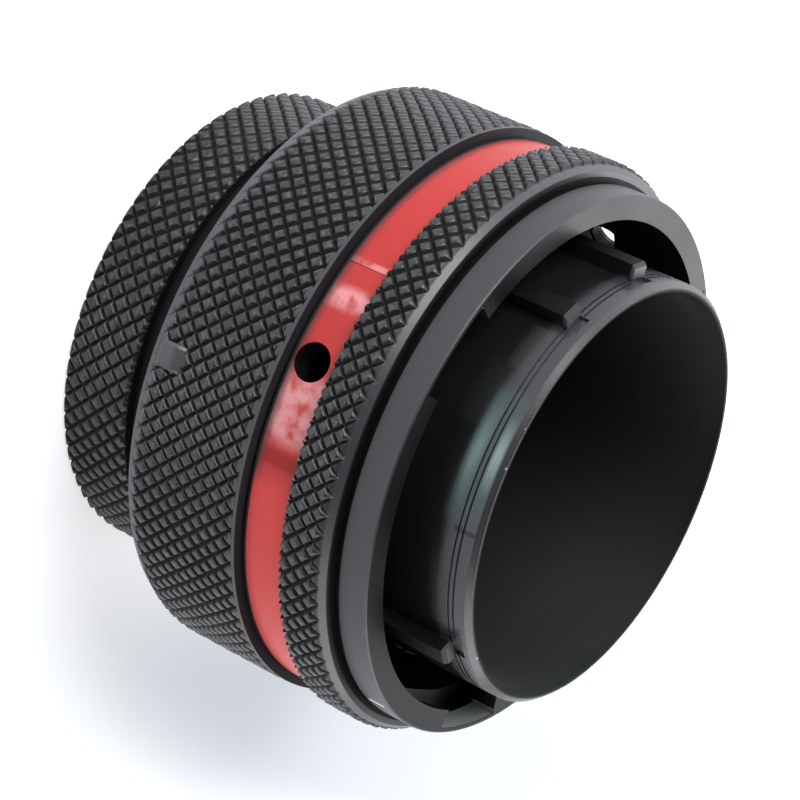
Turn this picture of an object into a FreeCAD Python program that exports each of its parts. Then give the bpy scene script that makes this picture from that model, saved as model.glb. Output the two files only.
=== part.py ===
"""Circular plug connector with a bayonet coupling ring, standing on its rear end.

Millimetres. The origin is the centre of the rear face and +Z runs along the axis to the
mating mouth. Angles are in degrees about +Z from +X.
"""
import FreeCAD, Part
import math
import os

Vector = FreeCAD.Vector
AXIS = Vector(0, 0, 1)

# Shell walls over the bore, with the rear grip and the shoulder behind the coupling ring.
nose_bore_radius = 14.6
nose_wall = 0.92
grip_wall = 2.9
grip_length = 5.7
grip_chamfer = 0.2
neck_wall = 2.0
neck_length = 1.9
shoulder_rise = 0.8
shoulder_length = 0.7
land_wall = 2.1
land_length = 5.3

# Shell, mating nose with its keys.
nose_length = 20.54
mouth_flare = 0.3
lead_in_length = 0.6
nose_edge_chamfer = 0.35
key_height = 1.1
key_width = 1.5
key_setback = 1.47
key_tip_chamfer = 0.25
key_angles = (205.5, 233.0, 329.0, 60.0, 120.0)
pocket_length = 0.7
pocket_depth = 0.25
line_width = 0.15
line_depth = 0.14
line_setbacks = (1.2, 1.6)

# Coupling ring, outside.
ring_wall = 3.14
ring_tail_wall = 1.85
ring_tail_length = 0.95
ring_back_drop = 0.53
ring_back_chamfer = 1.05
wide_knurl_length = 8.05
lip_length = 0.65
lip_drop = 0.08
relief_length = 0.3
relief_depth = 1.2
ridge_length = 0.15
front_knurl_length = 2.75
front_lip_length = 0.8
front_lip_drop = 0.65
step_length = 0.07
step_drop = 0.4
front_relief_length = 0.43
front_relief_depth = 0.22
front_band_wall = 0.37
front_band_length = 2.26
front_edge_chamfer = 0.1

# Coupling ring, inside.
ring_side_gap = 0.36
ring_lip_length = 1.5
track_depth = 1.19
entry_step = 0.2
track_width = 3.0
track_turn = 106.4
entry_angle = 257.0
entry_width_deg = 20.0
bayonet_count = 3

# Colour band in its groove, with the sight holes.
band_width = 3.35
band_thickness = 0.3
band_depth = 0.75
band_end_clearance = 0.05
band_seam = 0.05
band_seam_angle = 250.7
sight_hole_radius = 1.35
sight_hole_drop = 0.22

# Axial stack that holds the ring on the shell.
coupling_travel = 0.8
washer_thickness = 0.5
washer_width = 1.1
spring_pressed_height = 0.8
spring_thickness = 0.3
spring_width = 0.95
spring_wave_count = 4
retainer_thickness = 1.0
retainer_stand_out = 1.0
retainer_groove_depth = 0.8
retainer_gap = 3.0
gasket_length = 1.0
gasket_width = 1.36

# Insert stack in the shell.
pocket_rim_depth = 0.9
grommet_step = 1.6
grommet_tail_length = 2.0
grommet_flange_length = 1.5
follower_thickness = 0.45
insert_ring_thickness = 0.65
insert_ring_bite = 0.6
insert_ring_width = 1.9
insert_ring_gap = 2.4
wafer_length = 2.2
insulator_flange_length = 2.9
web_length = 1.5
web_reach = 1.0
insulator_nose_excess = 0.45
seal_thickness = 0.75

# Contacts.
barrel_radius = 0.85
pin_radius = 0.5
collar_radius = 1.25
collar_length = 0.6
wire_bore_radius = 0.55
wire_bore_depth = 2.0
barrel_setback = 1.5
pin_height = 6.5
pin_tip_length = 0.4
pin_tip_radius = 0.25
wire_hole_radius = 0.8
clip_wall = 0.4
clip_length = 1.5
outer_contact_count = 12
outer_contact_share = 0.807
outer_start_angle = 15.0
middle_contact_count = 7
middle_contact_share = 0.459
inner_contact_count = 2
inner_contact_share = 0.133
inner_start_angle = 90.0

# Clearances.
running_clearance = 0.05
face_clearance = 0.02
seat_clearance = 0.1
hole_clearance = 0.05
groove_clearance = 0.05
cut_margin = 0.3

# Radii, from the bore of the nose outward.
nose_radius = nose_bore_radius + nose_wall
mouth_radius = nose_bore_radius + mouth_flare
land_radius = nose_bore_radius + land_wall
neck_radius = nose_bore_radius + neck_wall
grip_radius = nose_bore_radius + grip_wall
shoulder_radius = land_radius + shoulder_rise
key_top_radius = nose_radius + key_height
gasket_radius = nose_radius + face_clearance + gasket_width
retainer_groove_radius = land_radius - retainer_groove_depth
retainer_radius = land_radius + retainer_stand_out
washer_radius = land_radius + seat_clearance
ring_lip_radius = land_radius + running_clearance
ring_bore_radius = washer_radius + washer_width + ring_side_gap
track_radius = ring_bore_radius + track_depth
entry_radius = track_radius + entry_step
front_band_radius = entry_radius + front_band_wall
ring_radius = ring_bore_radius + ring_wall
ring_back_radius = ring_radius - ring_back_drop
ring_tail_radius = ring_lip_radius + ring_tail_wall
band_floor_radius = ring_radius - band_depth - band_thickness

# Radii inside the bore.
insert_radius = nose_bore_radius - seat_clearance
grommet_radius = insert_radius - grommet_step
web_radius = nose_bore_radius - web_reach
insert_nose_radius = web_radius - seat_clearance
contact_rings = (
    (outer_contact_count, outer_contact_share * insert_nose_radius, outer_start_angle),
    (middle_contact_count, middle_contact_share * insert_nose_radius, 0.0),
    (inner_contact_count, inner_contact_share * insert_nose_radius, inner_start_angle))

# Levels along the axis, from the rear face.
neck_z = grip_length
shoulder_z = neck_z + neck_length
land_z = shoulder_z + shoulder_length
nose_z = land_z + land_length
mouth_z = nose_z + nose_length

ring_z = land_z + running_clearance
ring_back_z = ring_z + ring_tail_length
wide_knurl_z = ring_back_z + ring_back_chamfer
lip_z = wide_knurl_z + wide_knurl_length
relief_z = lip_z + lip_length
ridge_z = relief_z + relief_length
band_floor_z = ridge_z + ridge_length
front_knurl_z = band_floor_z + band_width + band_end_clearance
front_lip_z = front_knurl_z + front_knurl_length
step_z = front_lip_z + front_lip_length
front_relief_z = step_z + step_length
front_band_z = front_relief_z + front_relief_length
ring_face_z = front_band_z + front_band_length

spring_height = spring_pressed_height + coupling_travel
ring_lip_z = ring_z + ring_lip_length
washer_z = ring_lip_z + face_clearance
spring_z = washer_z + washer_thickness + face_clearance
retainer_z = spring_z + spring_height + face_clearance

key_z = mouth_z - key_setback
key_root_z = nose_z + gasket_length + face_clearance
sight_hole_z = band_floor_z + band_width / 2 - sight_hole_drop
sight_hole_angle = entry_angle + 360.0 / bayonet_count - track_turn
entry_z = ring_face_z - track_width / 2

tail_z = pocket_rim_depth
flange_z = tail_z + grommet_tail_length
wafer_z = flange_z + grommet_flange_length
insulator_z = wafer_z + wafer_length
web_z = insulator_z + insulator_flange_length
seal_z = web_z + web_length + insulator_nose_excess
seal_face_z = seal_z + seal_thickness
follower_z = flange_z - follower_thickness
insert_ring_z = follower_z - insert_ring_thickness
barrel_z = tail_z + barrel_setback
collar_z = insulator_z + hole_clearance


def turned(points):
    """Solid of revolution about the axis from (radius, level) corners."""
    corners = [Vector(r, 0, z) for r, z in points]
    face = Part.Face(Part.makePolygon(corners + corners[:1]))
    return face.revolve(Vector(0, 0, 0), AXIS, 360)


def sleeve(r_in, r_out, z0, z1):
    """Plain ring between two levels."""
    return turned([(r_in, z0), (r_out, z0), (r_out, z1), (r_in, z1)])


def sector(r_in, r_out, z0, z1, middle, width):
    """Part of a ring, centred on an angle."""
    corners = [Vector(r_in, 0, z0), Vector(r_out, 0, z0), Vector(r_out, 0, z1), Vector(r_in, 0, z1)]
    face = Part.Face(Part.makePolygon(corners + corners[:1]))
    solid = face.revolve(Vector(0, 0, 0), AXIS, width)
    solid.rotate(Vector(0, 0, 0), AXIS, middle - width / 2)
    return solid


def bar(r_in, r_out, width, z0, z1, angle):
    """Radial block, square to the axis at an angle."""
    block = Part.makeBox(r_out - r_in, width, z1 - z0, Vector(r_in, -width / 2, z0))
    block.rotate(Vector(0, 0, 0), AXIS, angle)
    return block


def radial_hole(radius, z, angle, reach):
    """Cylinder that runs outward from the axis."""
    hole = Part.makeCylinder(radius, reach, Vector(0, 0, z), Vector(1, 0, 0))
    hole.rotate(Vector(0, 0, 0), AXIS, angle)
    return hole


def contact_places():
    """Centres of the contacts, ring by ring."""
    places = []
    for count, radius, start in contact_rings:
        for k in range(count):
            turn = math.radians(start + 360.0 * k / count)
            places.append((radius * math.cos(turn), radius * math.sin(turn)))
    return places


def at_contacts(solid):
    """One copy of a solid at each contact."""
    copies = []
    for x, y in contact_places():
        copy = solid.copy()
        copy.translate(Vector(x, y, 0))
        copies.append(copy)
    return copies


def save(name, shapes):
    """Writes one node, as a solid or a group of separate solids."""
    shape = shapes[0] if len(shapes) == 1 else Part.makeCompound(shapes)
    shape.exportStep("parts/" + name + ".step")
    print(name, len(shape.Solids), shape.isValid(), round(shape.Volume, 3))


def nose_key(angle):
    """Lengthwise key with a chamfered tip and a top that follows the nose."""
    root = nose_bore_radius + seat_clearance
    corners = [Vector(root, 0, key_root_z), Vector(key_top_radius, 0, key_root_z),
               Vector(key_top_radius, 0, key_z - key_tip_chamfer),
               Vector(key_top_radius - key_tip_chamfer, 0, key_z), Vector(root, 0, key_z)]
    face = Part.Face(Part.makePolygon(corners + corners[:1]))
    round_top = face.revolve(Vector(0, 0, 0), AXIS, 360)
    face.translate(Vector(0, -key_width / 2, 0))
    key = face.extrude(Vector(0, key_width, 0)).common(round_top)
    key.rotate(Vector(0, 0, 0), AXIS, angle)
    return key


def plug_shell():
    """One turned piece: knurled grip, shoulder, land and the keyed nose."""
    ring_groove_z = retainer_z - groove_clearance
    ring_groove_end = retainer_z + retainer_thickness + groove_clearance
    rear_groove_radius = nose_bore_radius + insert_ring_bite
    body = turned([
        (nose_bore_radius, 0), (grip_radius - grip_chamfer, 0), (grip_radius, grip_chamfer),
        (grip_radius, neck_z - grip_chamfer), (grip_radius - grip_chamfer, neck_z),
        (neck_radius, neck_z), (neck_radius, shoulder_z), (shoulder_radius, shoulder_z),
        (shoulder_radius, land_z), (land_radius, land_z), (land_radius, ring_groove_z),
        (retainer_groove_radius, ring_groove_z), (retainer_groove_radius, ring_groove_end),
        (land_radius, ring_groove_end), (land_radius, nose_z), (nose_radius, nose_z),
        (nose_radius, mouth_z - nose_edge_chamfer), (nose_radius - nose_edge_chamfer, mouth_z),
        (mouth_radius, mouth_z), (nose_bore_radius, mouth_z - lead_in_length),
        (nose_bore_radius, web_z + web_length), (web_radius, web_z + web_length),
        (web_radius, web_z), (nose_bore_radius, web_z)])
    groove = sleeve(nose_bore_radius - cut_margin, rear_groove_radius, insert_ring_z, follower_z)
    body = body.cut(groove)
    for setback in line_setbacks:
        body = body.cut(sleeve(nose_radius - line_depth, nose_radius + cut_margin,
                               mouth_z - setback - line_width, mouth_z - setback))
    body = body.fuse([nose_key(angle) for angle in key_angles])
    pockets = [bar(nose_radius - pocket_depth, key_top_radius, key_width, key_z, key_z + pocket_length,
                   angle) for angle in key_angles]
    return body.cut(pockets).removeSplitter()


def bayonet_track(index):
    """Helical channel from one entry slot down to the sight hole that it ends under."""
    drop = entry_z - sight_hole_z
    pitch = drop * 360.0 / track_turn
    middle_radius = (ring_bore_radius + track_radius) / 2
    path = Part.makeHelix(pitch, drop, middle_radius)
    inner = ring_bore_radius - cut_margin
    corners = [Vector(inner, 0, -track_width / 2), Vector(track_radius, 0, -track_width / 2),
               Vector(track_radius, 0, track_width / 2), Vector(inner, 0, track_width / 2)]
    profile = Part.makePolygon(corners + corners[:1])
    channel = Part.Wire(path.Edges).makePipeShell([profile], True, True)
    channel.translate(Vector(0, 0, sight_hole_z))
    channel.rotate(Vector(0, 0, 0), AXIS, entry_angle - track_turn + 360.0 * index / bayonet_count)
    return channel


def coupling_ring():
    """Knurled outer ring with the colour groove, the entry slots and the tracks."""
    lip_radius = ring_radius - lip_drop
    front_lip_radius = ring_radius - front_lip_drop
    ring = turned([
        (ring_lip_radius, ring_z), (ring_tail_radius, ring_z), (ring_tail_radius, ring_back_z),
        (ring_back_radius, ring_back_z), (ring_radius, wide_knurl_z),
        (ring_radius, lip_z), (lip_radius, lip_z), (lip_radius, relief_z),
        (ring_radius - relief_depth, relief_z), (ring_radius - relief_depth, ridge_z),
        (ring_radius - band_depth, ridge_z), (ring_radius - band_depth, band_floor_z),
        (band_floor_radius, band_floor_z), (band_floor_radius, front_knurl_z),
        (ring_radius, front_knurl_z), (ring_radius, front_lip_z), (front_lip_radius, step_z),
        (front_lip_radius - step_drop, step_z), (front_lip_radius - step_drop, front_relief_z),
        (front_band_radius - front_relief_depth, front_relief_z),
        (front_band_radius - front_relief_depth, front_band_z), (front_band_radius, front_band_z),
        (front_band_radius, ring_face_z - front_edge_chamfer),
        (front_band_radius - front_edge_chamfer, ring_face_z), (ring_bore_radius, ring_face_z),
        (ring_bore_radius, ring_lip_z), (ring_lip_radius, ring_lip_z)])
    ring.rotate(Vector(0, 0, 0), AXIS, entry_angle + entry_width_deg / 4)
    for k in range(bayonet_count):
        turn = 360.0 * k / bayonet_count
        entry = sector(ring_bore_radius - cut_margin, entry_radius,
                       entry_z - track_width / 2 - face_clearance, ring_face_z + cut_margin,
                       entry_angle + turn, entry_width_deg)
        ring = ring.cut(entry)
        ring = ring.cut(bayonet_track(k))
        ring = ring.cut(radial_hole(track_width / 2, sight_hole_z, sight_hole_angle + turn, entry_radius))
        ring = ring.cut(radial_hole(sight_hole_radius, sight_hole_z, sight_hole_angle + turn,
                                    ring_radius + cut_margin))
    return ring


def colour_band():
    """Thin split band in the groove of the ring, pierced by the sight holes."""
    r_in = band_floor_radius + face_clearance
    r_out = band_floor_radius + band_thickness
    band = sleeve(r_in, r_out, band_floor_z + band_end_clearance / 2, band_floor_z + band_width)
    cuts = [bar(r_in - cut_margin, r_out + cut_margin, band_seam, band_floor_z,
                band_floor_z + band_width + cut_margin, band_seam_angle)]
    for k in range(bayonet_count):
        cuts.append(radial_hole(sight_hole_radius, sight_hole_z,
                                sight_hole_angle + 360.0 * k / bayonet_count, ring_radius))
    return band.cut(cuts)


def wave_spring():
    """Flat ring bent into even waves between the washer and the retaining ring."""
    swing = (spring_height - spring_thickness) / 2
    middle = spring_z + swing
    r_in = land_radius + 2 * seat_clearance
    steps = 16 * spring_wave_count

    def edge(radius, level):
        points = []
        for k in range(steps):
            turn = 2 * math.pi * k / steps
            rise = swing * math.cos(spring_wave_count * turn)
            points.append(Vector(radius * math.cos(turn), radius * math.sin(turn), level + rise))
        curve = Part.BSplineCurve()
        curve.interpolate(Points=points, PeriodicFlag=True)
        return curve.toShape()

    low_in = edge(r_in, middle)
    low_out = edge(r_in + spring_width, middle)
    high_in = edge(r_in, middle + spring_thickness)
    high_out = edge(r_in + spring_width, middle + spring_thickness)
    faces = [Part.makeRuledSurface(low_in, low_out), Part.makeRuledSurface(high_in, high_out),
             Part.makeRuledSurface(low_in, high_in), Part.makeRuledSurface(low_out, high_out)]
    shell = Part.makeShell(faces)
    shell.sewShape()
    solid = Part.makeSolid(shell)
    if solid.Volume < 0:
        solid.reverse()
    return solid


def split_ring(r_in, r_out, z0, z1, gap, angle):
    """Snap ring with an open gap."""
    ring = sleeve(r_in, r_out, z0, z1)
    return ring.cut(bar(r_in - gap, r_out + gap, gap, z0 - gap, z1 + gap, angle))


def front_insulator():
    """Hard insert body, held by its flange behind the web of the shell."""
    body = turned([(0, insulator_z), (insert_radius, insulator_z), (insert_radius, web_z),
                   (insert_nose_radius, web_z), (insert_nose_radius, seal_z), (0, seal_z)])
    bore = Part.makeCylinder(barrel_radius + hole_clearance, seal_z, Vector(0, 0, 0))
    seat = Part.makeCylinder(collar_radius + hole_clearance, collar_length + 2 * hole_clearance,
                             Vector(0, 0, insulator_z))
    return body.cut(at_contacts(bore.fuse(seat)))


def rear_insulator():
    """Wafer that carries the contact clips."""
    body = Part.makeCylinder(insert_radius, wafer_length, Vector(0, 0, wafer_z))
    bore = Part.makeCylinder(barrel_radius + clip_wall + 2 * hole_clearance, wafer_length,
                             Vector(0, 0, wafer_z))
    return body.cut(at_contacts(bore))


def rear_grommet():
    """Soft wire seal, seen at the rear, with one wire hole for each contact."""
    body = turned([(0, tail_z), (grommet_radius, tail_z), (grommet_radius, flange_z),
                   (insert_radius, flange_z), (insert_radius, wafer_z), (0, wafer_z)])
    wire = Part.makeCylinder(wire_hole_radius, grommet_tail_length, Vector(0, 0, tail_z))
    barrel = Part.makeCylinder(barrel_radius + hole_clearance, wafer_z - barrel_z, Vector(0, 0, barrel_z))
    return body.cut(at_contacts(wire.fuse(barrel)))


def interfacial_seal():
    """Soft face of the insert at the bottom of the mating hollow."""
    disc = Part.makeCylinder(insert_nose_radius, seal_thickness, Vector(0, 0, seal_z))
    hole = Part.makeCylinder(pin_radius + face_clearance, seal_thickness, Vector(0, 0, seal_z))
    return disc.cut(at_contacts(hole))


def pin_contact():
    """Crimp contact with a collar and a round pin, on the axis."""
    tip_z = seal_face_z + pin_height
    return turned([
        (0, barrel_z + wire_bore_depth), (wire_bore_radius, barrel_z + wire_bore_depth),
        (wire_bore_radius, barrel_z), (barrel_radius, barrel_z), (barrel_radius, collar_z),
        (collar_radius, collar_z), (collar_radius, collar_z + collar_length),
        (barrel_radius, collar_z + collar_length), (barrel_radius, seal_z - hole_clearance),
        (pin_radius, seal_z - hole_clearance), (pin_radius, tip_z - pin_tip_length),
        (pin_tip_radius, tip_z), (0, tip_z)])


def contact_clip():
    """Split sleeve behind the collar of one contact, on the axis."""
    top_z = insulator_z - hole_clearance
    return split_ring(barrel_radius + hole_clearance, barrel_radius + hole_clearance + clip_wall,
                      top_z - clip_length, top_z, clip_wall, 0)


os.makedirs("parts", exist_ok=True)

save("plug_shell", [plug_shell()])
save("coupling_ring", [coupling_ring()])
save("colour_band", [colour_band()])

save("thrust_washer", [sleeve(washer_radius, washer_radius + washer_width, washer_z,
                              washer_z + washer_thickness)])
save("wave_spring", [wave_spring()])
save("retaining_ring", [split_ring(retainer_groove_radius + groove_clearance, retainer_radius,
                                   retainer_z, retainer_z + retainer_thickness, retainer_gap, 30)])
save("nose_gasket", [sleeve(nose_radius + face_clearance, gasket_radius, nose_z,
                            nose_z + gasket_length)])

save("interfacial_seal", [interfacial_seal()])
save("front_insulator", [front_insulator()])
save("rear_insulator", [rear_insulator()])
save("rear_grommet", [rear_grommet()])
save("grommet_follower", [sleeve(grommet_radius + seat_clearance, insert_radius, follower_z, flange_z)])
insert_ring_radius = nose_bore_radius + insert_ring_bite - groove_clearance
save("insert_retaining_ring", [split_ring(insert_ring_radius - insert_ring_width, insert_ring_radius,
                                          insert_ring_z, follower_z, insert_ring_gap, 210)])
save("pin_contacts", at_contacts(pin_contact()))
save("contact_clips", at_contacts(contact_clip()))
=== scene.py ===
import bpy
import bmesh
import math
import random
from mathutils import Matrix, Vector


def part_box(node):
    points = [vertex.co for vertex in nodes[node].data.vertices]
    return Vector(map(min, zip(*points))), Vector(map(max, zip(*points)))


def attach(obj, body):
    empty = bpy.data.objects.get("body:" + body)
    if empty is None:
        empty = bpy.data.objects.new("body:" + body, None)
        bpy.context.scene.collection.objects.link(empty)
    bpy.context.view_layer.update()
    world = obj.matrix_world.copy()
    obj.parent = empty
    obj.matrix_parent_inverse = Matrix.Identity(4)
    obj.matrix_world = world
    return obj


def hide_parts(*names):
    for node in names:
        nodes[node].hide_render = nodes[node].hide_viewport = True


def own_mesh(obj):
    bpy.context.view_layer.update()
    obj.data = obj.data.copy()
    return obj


# Dresses the circular plug connector and sets the plain studio picture of it.
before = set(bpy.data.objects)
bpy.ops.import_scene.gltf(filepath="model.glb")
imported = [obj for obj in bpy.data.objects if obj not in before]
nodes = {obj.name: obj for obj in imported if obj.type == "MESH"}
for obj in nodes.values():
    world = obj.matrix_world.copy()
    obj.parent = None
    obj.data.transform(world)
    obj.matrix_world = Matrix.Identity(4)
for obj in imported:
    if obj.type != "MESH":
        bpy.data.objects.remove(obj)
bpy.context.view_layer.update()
scene = bpy.context.scene
MM = 0.001


def level_span(node):
    """Lowest and highest level of a CAD node, in mm."""
    return [round(corner.z / MM, 3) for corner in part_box(node)]


# Levels from the rear face, in mm, as in the part's source
REAR_Z, MOUTH_Z = level_span("plug_shell")
TAIL_Z, FACE_Z = level_span("coupling_ring")
GRIP_Z, SNAP_Z, NOSE_Z, KEY_Z, LEAD_IN_Z = 5.7, 13.06, 13.6, 32.67, 33.54
BACK_Z, WIDE_Z, LIP_Z, RELIEF_Z, BAND_Z = 9.3, 10.35, 18.4, 19.05, 19.5
FRONT_Z, TAPER_Z, STEP_Z, SMOOTH_Z = 22.9, 25.65, 26.45, 26.95

# Radii, in mm, as in the part's source
RING_R, BACK_R, LIP_R, STEP_R = 21.4, 20.87, 21.32, 20.75
BAND_R, FLOOR_R, SMOOTH_R, SLOT_R, TRACK_R = 20.65, 20.35, 20.02, 19.65, 19.45
GRIP_R, GRIP_EDGE, NECK_R = 17.5, 0.2, 16.6
NOSE_R, RIM_R, BORE_R = 15.52, 15.17, 14.6

# Radii, in mm, between which the tops of the keys lie
KEY_LOW_R, KEY_HIGH_R = 15.75, 16.9

# Knurls: depth, and the levels where the wide one fades in and out
GROOVE = 0.36
RUN_IN_Z = WIDE_Z - (WIDE_Z - BACK_Z) * GROOVE / (RING_R - BACK_R)
RUN_OUT_Z = 18.78

# One diamond: the steps from its foot to its flat, as shares of the pitch and drops below the
# crest, then how uneven its flat and its size are, and the parts of a sloping stretch
FACETS = ((0.85, 0.25), (0.68, 0.1), (0.52, 0.02), (0.3, 0.0))
FLAT_DROP = 0.05
CORNERS = ((-1, 0), (0, -1), (1, 0), (0, 1))
LIFT_LOW, LIFT_HIGH, TILT, GROWTH = -0.02, 0.01, 0.02, 0.03
SLOPE_PARTS = 6

# Flattened pad on the rear edge of the wide knurl, in degrees and mm
PAD_ANGLE, PAD_WIDTH, PAD_FROM, PAD_TO = 280.4, 1.85, 9.7, 12.1
PAD_RISE, PAD_PARTS, PAD_SINK = 0.01, 6, 0.05

# Material slots of the two knurled pieces; the second is a darker, duller copy that paints shade into
# recesses and gaps
PLAIN, PAINTED_SHADE, SATIN = 0, 1, 2

# Tolerances of the mesh work: metres, then mm in radius and level, then degrees
ON_PLANE, TOUCHING = 1e-9, 1e-7
NEAR_R, NEAR_Z = 0.012, 0.004
SHARP_TURNED, SHARP_KNURLED = 22, 48


# Shader helpers
class Graph:
    """Small builder for one node tree."""

    def __init__(self, tree):
        self.tree = tree

    def node(self, kind, **settings):
        made = self.tree.nodes.new(kind)
        for key, value in settings.items():
            setattr(made, key, value)
        return made

    def feed(self, socket, value):
        if hasattr(value, "is_output"):
            self.tree.links.new(value, socket)
        else:
            socket.default_value = value

    def math(self, operation, a, b=0.0):
        made = self.node("ShaderNodeMath", operation=operation)
        self.feed(made.inputs[0], a)
        self.feed(made.inputs[1], b)
        return made.outputs[0]

    def plus(self, a, b):
        return self.math("ADD", a, b)

    def minus(self, a, b):
        return self.math("SUBTRACT", a, b)

    def times(self, a, b):
        return self.math("MULTIPLY", a, b)

    def vector_math(self, operation, a, b):
        made = self.node("ShaderNodeVectorMath", operation=operation)
        self.feed(made.inputs[0], a)
        self.feed(made.inputs[1], b)
        return made.outputs["Value" if operation in ("DISTANCE", "DOT_PRODUCT") else "Vector"]

    def step(self, value, low, high, start=0.0, end=1.0):
        """Start below low and end above high, smooth between."""
        made = self.node("ShaderNodeMapRange", interpolation_type="SMOOTHSTEP")
        self.feed(made.inputs["Value"], value)
        self.feed(made.inputs["From Min"], low)
        self.feed(made.inputs["From Max"], high)
        self.feed(made.inputs["To Min"], start)
        self.feed(made.inputs["To Max"], end)
        return made.outputs["Result"]

    def window(self, value, low, high, edge):
        """1 between low and high, with soft edges."""
        above = self.step(value, low - edge, low + edge)
        below = self.minus(1.0, self.step(value, high - edge, high + edge))
        return self.times(above, below)

    def range(self, value, low, high):
        """Maps 0..1 to low..high."""
        made = self.node("ShaderNodeMapRange")
        self.feed(made.inputs["Value"], value)
        self.feed(made.inputs["To Min"], low)
        self.feed(made.inputs["To Max"], high)
        return made.outputs["Result"]

    def noise(self, vector, scale, detail=3.0, roughness=0.5):
        made = self.node("ShaderNodeTexNoise")
        self.feed(made.inputs["Vector"], vector)
        self.feed(made.inputs["Scale"], scale)
        self.feed(made.inputs["Detail"], detail)
        self.feed(made.inputs["Roughness"], roughness)
        return made.outputs["Fac"]

    def mix(self, factor, a, b):
        made = self.node("ShaderNodeMix", data_type="RGBA")
        self.feed(made.inputs["Factor"], factor)
        self.feed(made.inputs[6], a)
        self.feed(made.inputs[7], b)
        return made.outputs[2]

    def vector(self, x, y, z):
        made = self.node("ShaderNodeCombineXYZ")
        for socket, value in zip(made.inputs, (x, y, z)):
            self.feed(socket, value)
        return made.outputs[0]

    def lay(self, colour, mask, tone, amount=1.0):
        """Colour with a tone laid over it where the mask is."""
        return self.mix(self.times(mask, amount), colour, tone)

    def bump(self, height, strength, distance):
        made = self.node("ShaderNodeBump")
        self.feed(made.inputs["Height"], height)
        self.feed(made.inputs["Strength"], strength)
        self.feed(made.inputs["Distance"], distance)
        return made.outputs["Normal"]


class Surface(Graph):
    """The node tree of one new material."""

    def __init__(self, name):
        self.material = bpy.data.materials.new(name)
        self.material.use_nodes = True
        super().__init__(self.material.node_tree)
        self.tree.nodes.clear()
        self.position = self.node("ShaderNodeTexCoord").outputs["Object"]

    def polar(self):
        """Radius and level in mm, angle in degrees 0..360."""
        split = self.node("ShaderNodeSeparateXYZ")
        self.feed(split.inputs[0], self.position)
        x, y, z = split.outputs
        radius = self.math("SQRT", self.plus(self.times(x, x), self.times(y, y)))
        angle = self.times(self.math("ARCTAN2", y, x), math.degrees(1.0))
        self.angle = self.plus(angle, self.times(self.math("LESS_THAN", angle, 0.0), 360.0))
        self.radius = self.times(radius, 1 / MM)
        self.level = self.times(z, 1 / MM)

    def unrolled(self, per_degree, per_mm):
        """Point on the unrolled wall, stretched by the two scales."""
        return self.vector(self.times(self.angle, per_degree), self.times(self.level, per_mm), 0.0)

    def show(self, shader):
        out = self.node("ShaderNodeOutputMaterial")
        self.feed(out.inputs["Surface"], shader.outputs[0])
        return self.material

    def finish(self, **inputs):
        shader = self.node("ShaderNodeBsdfPrincipled")
        for name, value in inputs.items():
            self.feed(shader.inputs[name.replace("_", " ")], value)
        return self.show(shader)


def grey(value, tint=(1.0, 1.0, 1.0)):
    return (value * tint[0], value * tint[1], value * tint[2], 1.0)


VIOLET = (1.05, 0.97, 1.12)
COOL = (0.97, 1.0, 1.05)
GREEN = (0.8, 1.1, 0.9)


# Knurled surfaces
def polar_point(radius, angle, level):
    return Vector((radius * math.cos(angle) * MM, radius * math.sin(angle) * MM, level * MM))


def envelope(profile, level):
    """Outer radius at a level, from (level, radius) corners."""
    for (z0, r0), (z1, r1) in zip(profile, profile[1:]):
        if z0 <= level <= z1:
            return r0 + (r1 - r0) * (level - z0) / (z1 - z0)
    return profile[0][1] if level < profile[0][0] else profile[-1][1]


def cut_across(bm, level, clear_below=False, clear_above=False):
    """Cuts a mesh at a level, and clears what lies on one side of it."""
    bmesh.ops.bisect_plane(bm, geom=bm.verts[:] + bm.edges[:] + bm.faces[:], dist=ON_PLANE,
                           plane_co=(0, 0, level * MM), plane_no=(0, 0, 1),
                           clear_inner=clear_below, clear_outer=clear_above)


def set_radius(vert, radius):
    """Moves a vertex along its own radius, to a radius in metres."""
    reach = math.hypot(vert.co.x, vert.co.y)
    vert.co.x *= radius / reach
    vert.co.y *= radius / reach


def diamonds(bm, radius, count, pitch, rows, dice, phase):
    """Rows of uneven truncated diamonds that share their feet."""
    half_wide = math.pi / count
    half_tall = pitch / 2
    feet = {}

    def foot(column, row):
        key = (column % (2 * count), row)
        if key not in feet:
            place = polar_point(radius - GROOVE, key[0] * half_wide + phase, row * half_tall)
            feet[key] = bm.verts.new(place)
        return feet[key]

    for row in rows:
        for k in range(count):
            column = 2 * k + row % 2
            lift = dice.uniform(LIFT_LOW, LIFT_HIGH)
            tilt_a, tilt_z = dice.uniform(-TILT, TILT), dice.uniform(-TILT, TILT)
            grow = dice.uniform(-GROWTH, GROWTH)
            outer = [foot(column + da, row + dz) for da, dz in CORNERS]
            for share, drop in FACETS:
                share += grow
                inner = []
                for da, dz in CORNERS:
                    uneven = 0.0 if drop > FLAT_DROP else min(0.0, lift + da * tilt_a + dz * tilt_z)
                    angle = (column + da * share) * half_wide + phase
                    level = (row + dz * share) * half_tall
                    inner.append(bm.verts.new(polar_point(radius - drop + uneven, angle, level)))
                for i in range(4):
                    bm.faces.new((outer[i], outer[(i + 1) % 4], inner[(i + 1) % 4], inner[i]))
                outer = inner
            bm.faces.new(outer)


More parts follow.
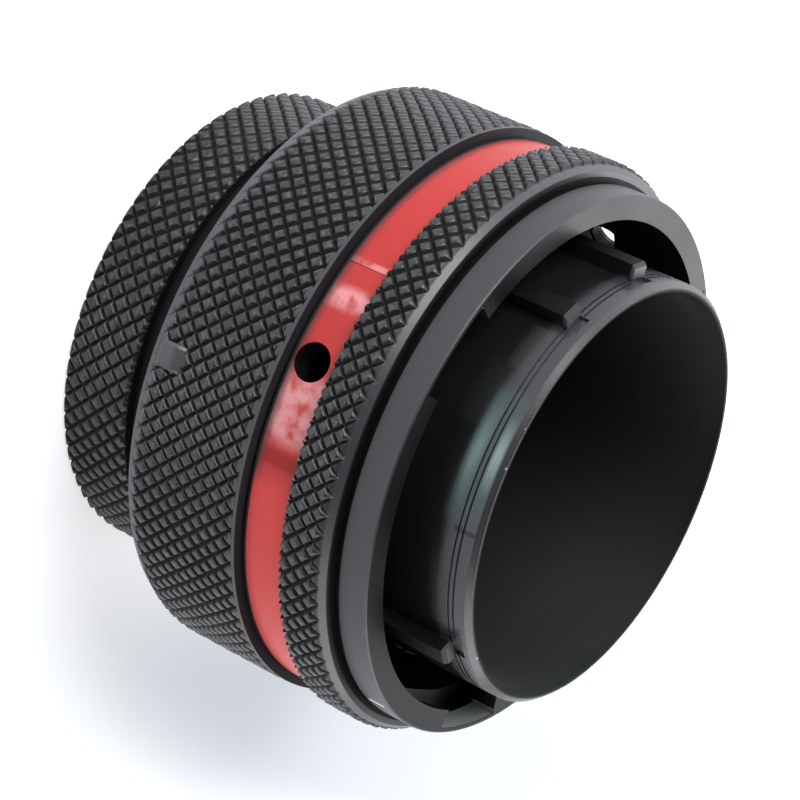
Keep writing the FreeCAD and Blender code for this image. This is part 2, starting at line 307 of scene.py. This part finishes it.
def knurl(radius, profile, ends, count, pitch, seed, phase=0.0):
    """Sleeve of diamonds, cut to an outer profile and closed down to the two end radii."""
    bm = bmesh.new()
    z_from, z_to = profile[0][0], profile[-1][0]
    rows = range(int(2 * z_from / pitch) - 2, int(2 * z_to / pitch) + 3)
    diamonds(bm, radius, count, pitch, rows, random.Random(seed), phase)
    for level, _ in profile[1:-1]:
        cut_across(bm, level)
    for (z0, r0), (z1, r1) in zip(profile, profile[1:]):
        if r0 != r1:
            for i in range(1, SLOPE_PARTS):
                cut_across(bm, z0 + (z1 - z0) * i / SLOPE_PARTS)
    cut_across(bm, z_from, clear_below=True)
    cut_across(bm, z_to, clear_above=True)
    for vert in bm.verts:
        limit = envelope(profile, vert.co.z / MM) * MM
        if math.hypot(vert.co.x, vert.co.y) > limit:
            set_radius(vert, limit)
    for level, end_radius in ((z_from, ends[0]), (z_to, ends[1])):
        if end_radius is None:
            continue
        rim = [edge for edge in bm.edges
               if edge.is_boundary and all(abs(v.co.z - level * MM) < TOUCHING for v in edge.verts)]
        made = bmesh.ops.extrude_edge_only(bm, edges=rim)
        for vert in made["geom"]:
            if isinstance(vert, bmesh.types.BMVert):
                set_radius(vert, end_radius * MM)
    return bm


def pad(bm, profile, floor_radius):
    """Smooth raised pad over the first teeth of the wide knurl, as an arc with side walls."""
    levels = (PAD_FROM, WIDE_Z, PAD_TO)
    half = math.degrees(PAD_WIDTH / 2 / RING_R)
    tops, feet = [], []
    for i in range(PAD_PARTS + 1):
        turn = math.radians(PAD_ANGLE - half + 2 * half * i / PAD_PARTS)
        tops.append([bm.verts.new(polar_point(envelope(profile, z) + PAD_RISE, turn, z)) for z in levels])
        feet.append([bm.verts.new(polar_point(floor_radius, turn, z)) for z in levels])
    for i in range(PAD_PARTS):
        for k in range(2):
            bm.faces.new((tops[i][k], tops[i + 1][k], tops[i + 1][k + 1], tops[i][k + 1]))
        bm.faces.new((tops[i][2], tops[i + 1][2], feet[i + 1][2], feet[i][2]))
        bm.faces.new((tops[i + 1][0], tops[i][0], feet[i][0], feet[i + 1][0]))
    for k in range(2):
        bm.faces.new((tops[0][k], tops[0][k + 1], feet[0][k + 1], feet[0][k]))
        bm.faces.new((tops[-1][k + 1], tops[-1][k], feet[-1][k], feet[-1][k + 1]))


def inside(spots, box):
    """Whether every (radius, level) spot lies in a (radius, radius, level, level) box."""
    r0, r1, z0, z1 = box
    return all(r0 - NEAR_R <= r <= r1 + NEAR_R and z0 - NEAR_Z <= z <= z1 + NEAR_Z for r, z in spots)


def smooth_edges(bm, sharp):
    """Keeps an edge sharp where its faces turn by more than so many degrees."""
    for edge in bm.edges:
        edge.smooth = len(edge.link_faces) == 2 and edge.calc_face_angle() < math.radians(sharp)


def dressed_copy(name, node, cuts, bare, marks, sleeves):
    """Copy of a CAD node with its plain lands swapped for knurled ones."""
    bm = bmesh.new()
    bm.from_mesh(nodes[node].data)
    bmesh.ops.remove_doubles(bm, verts=bm.verts[:], dist=TOUCHING)
    for level in cuts:
        cut_across(bm, level)
    gone = []
    for face in bm.faces:
        spots = [(math.hypot(v.co.x, v.co.y) / MM, v.co.z / MM) for v in face.verts]
        if any(inside(spots, box) for box in bare):
            gone.append(face)
        face.material_index = next((slot for slot, box in marks if inside(spots, box)), PLAIN)
    bmesh.ops.delete(bm, geom=gone, context="FACES")
    smooth_edges(bm, SHARP_TURNED)
    for sleeve in sleeves:
        smooth_edges(sleeve, SHARP_KNURLED)
        extra = bpy.data.meshes.new("sleeve")
        sleeve.to_mesh(extra)
        bm.from_mesh(extra)
        bpy.data.meshes.remove(extra)
        sleeve.free()
    for face in bm.faces:
        face.smooth = True
    bmesh.ops.recalc_face_normals(bm, faces=bm.faces[:])
    mesh = bpy.data.meshes.new(name)
    bm.to_mesh(mesh)
    bm.free()
    if "custom_normal" in mesh.attributes:
        mesh.attributes.remove(mesh.attributes["custom_normal"])
    piece = bpy.data.objects.new(name, mesh)
    scene.collection.objects.link(piece)
    return piece


def knurled_ring():
    wide_profile = [(RUN_IN_Z, RING_R - GROOVE), (WIDE_Z, RING_R), (LIP_Z, RING_R),
                    (LIP_Z + 0.05, LIP_R), (RUN_OUT_Z, LIP_R)]
    wide = knurl(RING_R, wide_profile, (None, LIP_R), count=97, pitch=1.43, seed=11)
    pad(wide, wide_profile, RING_R - GROOVE - PAD_SINK)
    front_profile = [(FRONT_Z, RING_R), (TAPER_Z, RING_R), (STEP_Z, STEP_R)]
    front = knurl(RING_R, front_profile, (FLOOR_R, None), count=98, pitch=1.41, seed=12, phase=0.012)
    bare = [(RING_R - GROOVE, RING_R, RUN_IN_Z, WIDE_Z), (RING_R, RING_R, WIDE_Z, LIP_Z),
            (LIP_R, RING_R, LIP_Z, LIP_Z), (LIP_R, LIP_R, LIP_Z, RUN_OUT_Z),
            (RING_R, RING_R, FRONT_Z, TAPER_Z), (FLOOR_R, RING_R, FRONT_Z, FRONT_Z),
            (STEP_R, RING_R, TAPER_Z, STEP_Z)]
    # Faces in the tail gap, the relief groove, the band groove and the tracks take the painted-shade slot
    marks = [(PAINTED_SHADE, (NECK_R, BACK_R, TAIL_Z, BACK_Z)), (PAINTED_SHADE, (FLOOR_R - 0.2, RING_R, RELIEF_Z, BAND_Z)),
             (PAINTED_SHADE, (TRACK_R, FLOOR_R, BAND_Z, SMOOTH_Z)),
             (SATIN, (NOSE_R, SMOOTH_R, FACE_Z - 0.05, FACE_Z))]
    return dressed_copy("coupling_ring_knurled", "coupling_ring", (RUN_IN_Z, RUN_OUT_Z), bare, marks,
                        [wide, front])


def knurled_shell():
    profile = [(REAR_Z, GRIP_R - GRIP_EDGE), (GRIP_EDGE, GRIP_R), (GRIP_Z - GRIP_EDGE, GRIP_R),
               (GRIP_Z, GRIP_R - GRIP_EDGE)]
    grip = knurl(GRIP_R, profile, (BORE_R, NECK_R), count=74, pitch=1.51, seed=13)
    bare = [(GRIP_R - GRIP_EDGE, GRIP_R, REAR_Z, GRIP_Z), (NECK_R, GRIP_R - GRIP_EDGE, GRIP_Z, GRIP_Z),
            (BORE_R, GRIP_R - GRIP_EDGE, REAR_Z, REAR_Z)]
    # Faces in the neck gap, on the mouth's lead-in and on the key tops take the painted-shade slot
    marks = [(PAINTED_SHADE, (NECK_R, GRIP_R, GRIP_Z, TAIL_Z)), (PAINTED_SHADE, (BORE_R, RIM_R, LEAD_IN_Z, MOUTH_Z)),
             (PAINTED_SHADE, (KEY_LOW_R, KEY_HIGH_R, SNAP_Z, KEY_Z))]
    return dressed_copy("plug_shell_knurled", "plug_shell", (), bare, marks, [grip])


ring = knurled_ring()
shell = knurled_shell()
for piece, node, body in ((ring, "coupling_ring", "ring"), (shell, "plug_shell", "shell")):
    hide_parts(node)
    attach(piece, body)


def flexing_spring():
    """Copy of the wave spring, with a mesh of its own, that rides on the shell in place of the CAD node.
    """
    piece = bpy.data.objects.new("wave_spring_flexing", nodes["wave_spring"].data.copy())
    scene.collection.objects.link(piece)
    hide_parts("wave_spring")
    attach(piece, "shell")
    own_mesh(piece)


# Masks. Each takes a surface whose polar() has run, and gives 0..1
def belt(z0, z1, r0, r1, edge=0.03):
    """Between two levels and two radii, all round."""
    return lambda g: g.times(g.window(g.level, z0, z1, edge), g.window(g.radius, r0, r1, edge))


def shaded_knurl_floor(radius, z0, z1):
    """Bottoms of a knurl's grooves, where shade is painted."""
    return lambda g: g.times(g.window(g.radius, radius - GROOVE - 0.1, radius - 0.12, 0.04),
                             g.window(g.level, z0, z1, 0.1))


def crests(g, radius):
    return g.step(g.radius, radius - 0.035, radius - 0.005)


def ring_crests(g):
    between = g.window(g.level, LIP_Z + 0.05, FRONT_Z - 0.1, 0.02)
    return g.times(crests(g, RING_R), g.minus(1.0, between))


def grip_crests(g):
    return g.times(crests(g, GRIP_R), g.minus(1.0, g.step(g.level, GRIP_Z, GRIP_Z + 0.1)))


def no_crests(g):
    return 0.0


def index_dash(g):
    return g.times(belt(SMOOTH_Z + 0.25, SMOOTH_Z + 1.55, SMOOTH_R - 0.12, SMOOTH_R + 0.08)(g),
                   g.window(g.angle, 343.4, 344.6, 0.08))


def pad_face(g):
    return g.times(belt(PAD_FROM, PAD_TO + 0.05, RING_R - 0.4, RING_R + 0.2)(g),
                   g.window(g.angle, PAD_ANGLE - 2.5, PAD_ANGLE + 2.5, 0.03))


def painted_light_seam_floor(g):
    """Groove floor that shows in the butt seam of the colour band, painted light pink against the seam's
    shade.
    """
    groove = belt(BAND_Z, FRONT_Z, FLOOR_R - 0.05, FLOOR_R + 0.05)(g)
    return g.times(groove, g.window(g.angle, 250.4, 251.0, 0.05))


def nose_patch(z0, z1, z_edge, start, end, edge, streaked=False):
    """Part of the nose's outer wall, between two levels and two angles."""
    def build(g):
        mask = g.times(g.window(g.level, z0, z1, z_edge), g.window(g.angle, start, end, edge))
        mask = g.times(mask, g.window(g.radius, NOSE_R - 0.06, NOSE_R + 0.06, 0.02))
        if streaked:
            mask = g.times(mask, g.range(g.noise(g.unrolled(0.06, 5.0), 1.0, 3.0, 0.6), 0.35, 1.25))
        return mask
    return build


def edge_wear(g):
    """Bright specks along the outer edge of the mouth."""
    edge = belt(MOUTH_Z - 0.1, MOUTH_Z + 0.1, RIM_R - 0.09, RIM_R + 0.07)(g)
    spots = g.noise(g.unrolled(0.21, 0.0), 1.0, 3.0, 0.7)
    return g.times(edge, g.step(spots, 0.6, 0.66))


rear_chamfer = belt(BACK_Z, WIDE_Z - 0.02, BACK_R - 0.87, RING_R + 0.2)
lip = belt(LIP_Z + 0.06, RELIEF_Z + 0.05, LIP_R - 0.12, LIP_R + 0.18)
front_chamfer = belt(TAPER_Z + 0.35, STEP_Z + 0.02, STEP_R - 0.15, STEP_R + 0.35)
smooth_band = belt(SMOOTH_Z, FACE_Z, SMOOTH_R - 0.12, SMOOTH_R + 0.18)
# Floor of the entry slots, painted near white: painted light where the floor lies in shade
painted_light_slot_floor = belt(SMOOTH_Z + 0.35, FACE_Z - 0.08, SLOT_R - 0.35, SLOT_R + 0.13)
ring_tail = belt(TAIL_Z - 0.1, BACK_Z + 0.05, NECK_R - 0.6, BACK_R + 0.13)
lip_groove = belt(RELIEF_Z - 0.05, BAND_Z + 0.05, FLOOR_R - 0.25, RING_R + 0.1)
neck = belt(GRIP_Z - 0.05, TAIL_Z + 0.05, NECK_R - 0.6, GRIP_R + 0.2)
nose_and_keys = belt(NOSE_Z, MOUTH_Z + 0.1, RIM_R - 0.07, KEY_HIGH_R - 0.1)
# Front of the nose past the line grooves, painted lighter than the rest of the nose: painted light
painted_light_nose_front = belt(31.6, MOUTH_Z + 0.1, RIM_R - 0.17, NOSE_R + 0.1, 0.3)
# Tips of the keys by the mouth, painted lighter: painted reflection
key_tip_reflections = belt(KEY_Z - 0.25, KEY_Z + 0.13, NOSE_R + 0.1, KEY_HIGH_R)
bore = belt(8.0, MOUTH_Z - 0.5, 13.0, BORE_R + 0.1)
lead_in = belt(LEAD_IN_Z - 0.02, MOUTH_Z + 0.1, BORE_R - 0.1, RIM_R - 0.11)
# Thin light line on the mouth's edge: painted highlight
rim_highlight = belt(MOUTH_Z - 0.05, MOUTH_Z + 0.1, RIM_R - 0.11, RIM_R + 0.03)
# Painted teal reflection on the nose front, with brighter painted streaks in it and a dark streak at its
# far end
nose_teal_reflection = nose_patch(31.3, 33.85, 0.5, 256.5, 290.5, 2.5)
rear_reflection_streaks = nose_patch(31.4, 32.2, 0.4, 265.0, 281.0, 9.0, True)
front_reflection_streaks = nose_patch(33.05, 33.7, 0.2, 267.0, 278.0, 7.0, True)
dark_streak = nose_patch(32.1, 33.8, 0.1, 291.9, 293.0, 0.5)

# Zones of the black surfaces: (mask, colour, roughness), each laid over those before it
# Painted shade for the bottoms of the knurl grooves
GROOVE_SHADE = grey(0.004, COOL)
RING_ZONES = [
    (shaded_knurl_floor(RING_R, WIDE_Z, LIP_Z), GROOVE_SHADE, 0.6),
    (shaded_knurl_floor(RING_R, FRONT_Z, STEP_Z), GROOVE_SHADE, 0.6),
    # The chamfers, the lip and the smooth band are painted a lighter violet-grey: painted highlights on
    # these smooth lands
    (rear_chamfer, grey(0.05, VIOLET), 0.36),
    (pad_face, grey(0.06, COOL), 0.4),
    (lip, grey(0.032, VIOLET), 0.42),
    (front_chamfer, grey(0.035, VIOLET), 0.36),
    (smooth_band, grey(0.026, VIOLET), 0.42),
    (painted_light_slot_floor, (0.57, 0.618, 0.6, 1.0), 0.5),
]
# Zones of the darker, duller copy that paints shade into recesses and gaps
RING_PAINTED_SHADE_ZONES = [
    (ring_tail, grey(0.014, COOL), 0.5),
    (lip_groove, grey(0.022, VIOLET), 0.5),
    # Painted light on the seam's floor
    (painted_light_seam_floor, (0.8, 0.4, 0.4, 1.0), 0.5),
]
SHELL_ZONES = [
    (shaded_knurl_floor(GRIP_R, REAR_Z, GRIP_Z), GROOVE_SHADE, 0.6),
    (nose_and_keys, grey(0.009, COOL), 0.16),
    (key_tip_reflections, grey(0.09, COOL), 0.4),
    (painted_light_nose_front, grey(0.034, VIOLET), 0.3),
    (nose_teal_reflection, (0.03, 0.052, 0.049, 1.0), 0.3),
    (rear_reflection_streaks, (0.16, 0.25, 0.23, 1.0), 0.3),
    (front_reflection_streaks, (0.3, 0.4, 0.39, 1.0), 0.3),
    (dark_streak, grey(0.002), 0.5),
    (edge_wear, grey(0.7), 0.3),
    (bore, grey(0.0075, GREEN), 0.6),
]
# Zones of the darker, duller copy that paints shade into the neck gap, the mouth and the keys
SHELL_PAINTED_SHADE_ZONES = [
    (neck, grey(0.012, COOL), 0.5),
    (lead_in, grey(0.009, GREEN), 0.6),
    (key_tip_reflections, grey(0.05, COOL), 0.5),
    (rim_highlight, grey(0.09), 0.5),
    (edge_wear, grey(0.5), 0.4),
]


# Materials
def turned_lines(g):
    """Fine rings left by the lathe, with a little grain."""
    along = g.vector(g.times(g.angle, 0.02), g.times(g.level, 9.0), g.times(g.radius, 9.0))
    lines = g.noise(along, 1.0, 4.0, 0.7)
    grain = g.noise(g.position, 9000.0, 2.0)
    return g.plus(g.times(lines, 0.75), g.times(grain, 0.25))


def anodised(name, zones, crest, paint=None, ior=1.62, tones=(0.005, 0.012), roughs=(0.28, 0.42)):
    """Black anodised metal, worn where the crest mask and the speckle meet."""
    g = Surface(name)
    g.polar()
    patches = g.noise(g.position, 160.0, 4.0, 0.6)
    speckle = g.noise(g.position, 2600.0, 3.0, 0.6)
    colour = g.mix(patches, grey(tones[0], COOL), grey(tones[1], VIOLET))
    rough = g.range(patches, *roughs)
    for build, tone, roughness in zones:
        mask = build(g)
        colour = g.mix(mask, colour, tone)
        rough = g.plus(g.times(rough, g.minus(1.0, mask)), g.times(mask, roughness))
    worn = g.times(crest(g), g.step(speckle, 0.42, 0.68))
    colour = g.mix(worn, colour, grey(0.07, COOL))
    if paint:
        mask = paint(g)
        colour = g.mix(mask, colour, grey(0.75))
        rough = g.plus(rough, g.times(mask, 0.2))
    rough = g.plus(rough, g.times(g.minus(speckle, 0.5), 0.12))
    return g.finish(Base_Color=colour, Roughness=rough, Metallic=0.0, IOR=ior,
                    Normal=g.bump(turned_lines(g), 0.35, 0.00002))


# Pale stretches of the red band, the first two painted highlights and the third a pale line by the seam:
# start, end and soft edge in degrees, then how strong
PALE_STRETCHES = ((255.5, 259.5, 1.2, 0.8), (273.0, 286.0, 2.0, 0.8), (249.4, 250.6, 0.4, 0.6))


def red_plastic():
    """Glossy red with painted highlights and light, a pale seam line, a dark stretch and painted shade.
    """
    g = Surface("red_band")
    g.polar()
    streak = g.noise(g.unrolled(0.05, 1.2), 3.0, 4.0, 0.6)
    torn = g.step(g.noise(g.unrolled(0.25, 0.7), 1.1, 3.0, 0.5), 0.25, 0.6)
    colour = g.mix(streak, (0.44, 0.026, 0.023, 1.0), (0.55, 0.044, 0.038, 1.0))
    for start, end, edge, amount in PALE_STRETCHES:
        pale_stretch = g.times(g.window(g.angle, start, end, edge), torn)
        colour = g.lay(colour, pale_stretch, (0.8, 0.36, 0.37, 1.0), amount)
    dark_stretch = g.window(g.angle, 287.8, 291.0, 0.9)
    # Dark rear edge of the band, by the groove wall: painted shade
    rear_edge_shade = g.minus(1.0, g.step(g.level, BAND_Z, BAND_Z + 0.75))
    # Greyish front edge of the band: painted highlight
    front_edge_highlight = g.step(g.level, FRONT_Z - 0.17, FRONT_Z - 0.07)
    # Brighter red towards the band's low end, facing the floor: painted light
    lit_low_end = g.step(g.angle, 291.0, 297.0)
    # Walls of the sight hole and the band's hidden faces, painted near black: painted shade
    shaded_hole_walls = g.math("LESS_THAN", g.radius, BAND_R - 0.03)
    colour = g.lay(colour, dark_stretch, (0.33, 0.006, 0.005, 1.0), 0.9)
    colour = g.lay(colour, rear_edge_shade, (0.07, 0.035, 0.03, 1.0), 0.85)
    colour = g.lay(colour, front_edge_highlight, (0.2, 0.12, 0.11, 1.0), 0.7)
    colour = g.lay(colour, lit_low_end, (0.84, 0.07, 0.06, 1.0), 0.6)
    colour = g.lay(colour, shaded_hole_walls, (0.02, 0.004, 0.004, 1.0))
    fine = g.noise(g.unrolled(0.3, 6.0), 3.0, 3.0, 0.6)
    return g.finish(Base_Color=colour, Roughness=g.range(streak, 0.26, 0.4), IOR=1.36,
                    Normal=g.bump(fine, 0.25, 0.00003))


def metal(name, tone, rough):
    g = Surface(name)
    g.polar()
    patches = g.noise(g.position, 400.0, 4.0, 0.6)
    return g.finish(Base_Color=g.mix(patches, grey(0.8, tone), grey(1.0, tone)), Metallic=1.0,
                    Roughness=g.range(patches, rough - 0.06, rough + 0.08),
                    Normal=g.bump(turned_lines(g), 0.3, 0.00001))


def soft(name, dark, light, rough, scale):
    g = Surface(name)
    patches = g.noise(g.position, scale, 4.0, 0.6)
    grain = g.noise(g.position, scale * 12, 2.0)
    return g.finish(Base_Color=g.mix(patches, dark, light),
                    Roughness=g.range(patches, rough - 0.06, rough + 0.06),
                    Normal=g.bump(grain, 0.3, 0.00003))


def dress(obj, *materials):
    """Gives an object its materials; a piece made here has none yet, and keeps its faces' slots."""
    if len(obj.data.materials):
        obj.data.materials.clear()
    for material in materials:
        obj.data.materials.append(material)


SEAL_GREEN, SEAL_LIGHT = (0.004, 0.016, 0.007, 1.0), (0.008, 0.026, 0.012, 1.0)
GROMMET_GREEN, GROMMET_LIGHT = (0.006, 0.02, 0.01, 1.0), (0.012, 0.032, 0.018, 1.0)


def dress_all():
    # The second material of each knurled piece is a darker, duller copy: painted shade for recesses and
    # gaps
    painted_shade_copy = {"ior": 1.22, "tones": (0.003, 0.006), "roughs": (0.45, 0.6)}
    dress(ring, anodised("ring_black", RING_ZONES, ring_crests, index_dash),
          anodised("ring_painted_shade_black", RING_PAINTED_SHADE_ZONES, no_crests, **painted_shade_copy),
          anodised("ring_face_black", [], no_crests, ior=1.38))
    dress(shell, anodised("shell_black", SHELL_ZONES, grip_crests),
          anodised("shell_painted_shade_black", SHELL_PAINTED_SHADE_ZONES, no_crests, **painted_shade_copy))
    steel = metal("plain_steel", (0.55, 0.55, 0.56), 0.3)
    dark_steel = metal("dark_steel", (0.16, 0.16, 0.17), 0.36)
    finishes = {
        "coupling_ring": ring.data.materials[PLAIN],
        "plug_shell": shell.data.materials[PLAIN],
        "colour_band": red_plastic(),
        "thrust_washer": steel,
        "wave_spring": steel,
        "retaining_ring": dark_steel,
        "insert_retaining_ring": dark_steel,
        "grommet_follower": anodised("follower_black", [], no_crests),
        "nose_gasket": soft("gasket_rubber", grey(0.008), grey(0.016), 0.7, 900.0),
        "interfacial_seal": soft("seal_rubber", SEAL_GREEN, SEAL_LIGHT, 0.6, 900.0),
        "rear_grommet": soft("grommet_rubber", GROMMET_GREEN, GROMMET_LIGHT, 0.62, 900.0),
        "front_insulator": soft("insulator_plastic", grey(0.01, GREEN), grey(0.016), 0.45, 600.0),
        "rear_insulator": soft("wafer_plastic", grey(0.012), grey(0.02), 0.45, 600.0),
        "pin_contacts": metal("contact_gold", (0.83, 0.6, 0.24), 0.22),
        "contact_clips": metal("clip_copper", (0.72, 0.48, 0.3), 0.3),
    }
    for node, material in finishes.items():
        dress(nodes[node], material)


dress_all()
flexing_spring()


# Floor, light and camera, in metres
FLOOR_REACH = 3.0
FLOOR_TONE = (0.78, 0.8, 0.835, 1)
FLOOR_GLOW, FLOOR_MIRRORED = 0.5, 0.2
# A spot on the floor, squeezed along y, where the camera glow fades: a painted shadow
SHADOW_SQUEEZE, SHADOW_AT = (1.0, 0.2, 1.0), (0.027, 0.0112, 0.0)
SHADOW_NEAR, SHADOW_FAR = 0.0055, 0.015
TENT, TENT_DARK, TENT_TOP = 0.85, 0.03, 1.3
TENT_TONE = (0.93, 0.965, 1.01, 1)
DARK_SIDE, TOP_SIDE = Vector((0.05, -0.8, 0.6)), Vector((-0.9, 0.25, 0.3))


def floor():
    """White floor that keeps its shadow, and glows white for the camera except at a painted shadow."""
    mesh = bpy.data.meshes.new("floor")
    corners = [(x * FLOOR_REACH, y * FLOOR_REACH, 0) for x, y in ((-1, -1), (1, -1), (1, 1), (-1, 1))]
    mesh.from_pydata(corners, [], [(0, 1, 2, 3)])
    plane = bpy.data.objects.new("floor", mesh)
    scene.collection.objects.link(plane)
    g = Surface("white_floor")
    spot = g.vector_math("MULTIPLY", g.node("ShaderNodeNewGeometry").outputs["Position"], SHADOW_SQUEEZE)
    glow_outside_painted_shadow = g.step(g.vector_math("DISTANCE", spot, SHADOW_AT), SHADOW_NEAR, SHADOW_FAR, 0.0, FLOOR_GLOW)
    path = g.node("ShaderNodeLightPath")
    seen = g.times(path.outputs["Is Camera Ray"], glow_outside_painted_shadow)
    mirrored = g.times(path.outputs["Is Glossy Ray"], FLOOR_MIRRORED)
    glow = g.node("ShaderNodeEmission")
    g.feed(glow.inputs["Strength"], g.math("MAXIMUM", seen, mirrored))
    matt = g.node("ShaderNodeBsdfDiffuse")
    g.feed(matt.inputs["Color"], FLOOR_TONE)
    both = g.node("ShaderNodeAddShader")
    g.feed(both.inputs[0], matt.outputs[0])
    g.feed(both.inputs[1], glow.outputs[0])
    plane.data.materials.append(g.show(both))


def softbox(name, place, aim, size, power):
    data = bpy.data.lights.new(name, "AREA")
    data.shape = "RECTANGLE"
    data.size, data.size_y = size
    data.energy = power
    lamp = bpy.data.objects.new(name, data)
    scene.collection.objects.link(lamp)
    lamp.location = place
    lamp.rotation_euler = (Vector(aim) - Vector(place)).to_track_quat("-Z", "Y").to_euler()


def studio():
    """White tent that is darker on the side of the camera and of the mouth; white where it is seen."""
    world = bpy.data.worlds.new("studio")
    scene.world = world
    world.use_nodes = True
    g = Graph(world.node_tree)
    way = g.node("ShaderNodeTexCoord").outputs["Generated"]
    fall = g.step(g.vector_math("DOT_PRODUCT", way, DARK_SIDE.normalized()), -0.35, 0.5, TENT, TENT_DARK)
    rise = g.step(g.vector_math("DOT_PRODUCT", way, TOP_SIDE.normalized()), 0.2, 0.95, 0.0, TENT_TOP)
    path = g.node("ShaderNodeLightPath")
    back = world.node_tree.nodes["Background"]
    g.feed(back.inputs["Color"], TENT_TONE)
    g.feed(back.inputs["Strength"], g.math("MAXIMUM", g.plus(fall, rise), path.outputs["Is Camera Ray"]))


def place_camera():
    """Camera fitted to the outlines in the photograph, given by its own three axes and its place."""
    data = bpy.data.cameras.new("camera")
    data.lens = 135.0
    data.sensor_width = 36.0
    camera = bpy.data.objects.new("camera", data)
    scene.collection.objects.link(camera)
    right = Vector((-0.42583, 0.44550, 0.78753))
    up = Vector((-0.90480, -0.20967, -0.37064))
    back = Vector((0.0, -0.87039, 0.49237))
    camera.matrix_world = Matrix((
        (right.x, up.x, back.x, 0.0000145), (right.y, up.y, back.y, -0.185825),
        (right.z, up.z, back.z, 0.121469), (0, 0, 0, 1)))
    scene.camera = camera


floor()
softbox("key", (-0.54, -0.5, 0.5), (0, 0, 0.015), (0.6, 0.6), 7.3)
softbox("back", (-0.27, 0.9, 0.42), (0, 0, 0.025), (0.5, 0.35), 1.8)
softbox("fill", (0.6, 0.1, 0.3), (0, 0, 0.015), (0.8, 0.5), 3.0)
studio()
place_camera()
scene.view_settings.view_transform = "Standard"
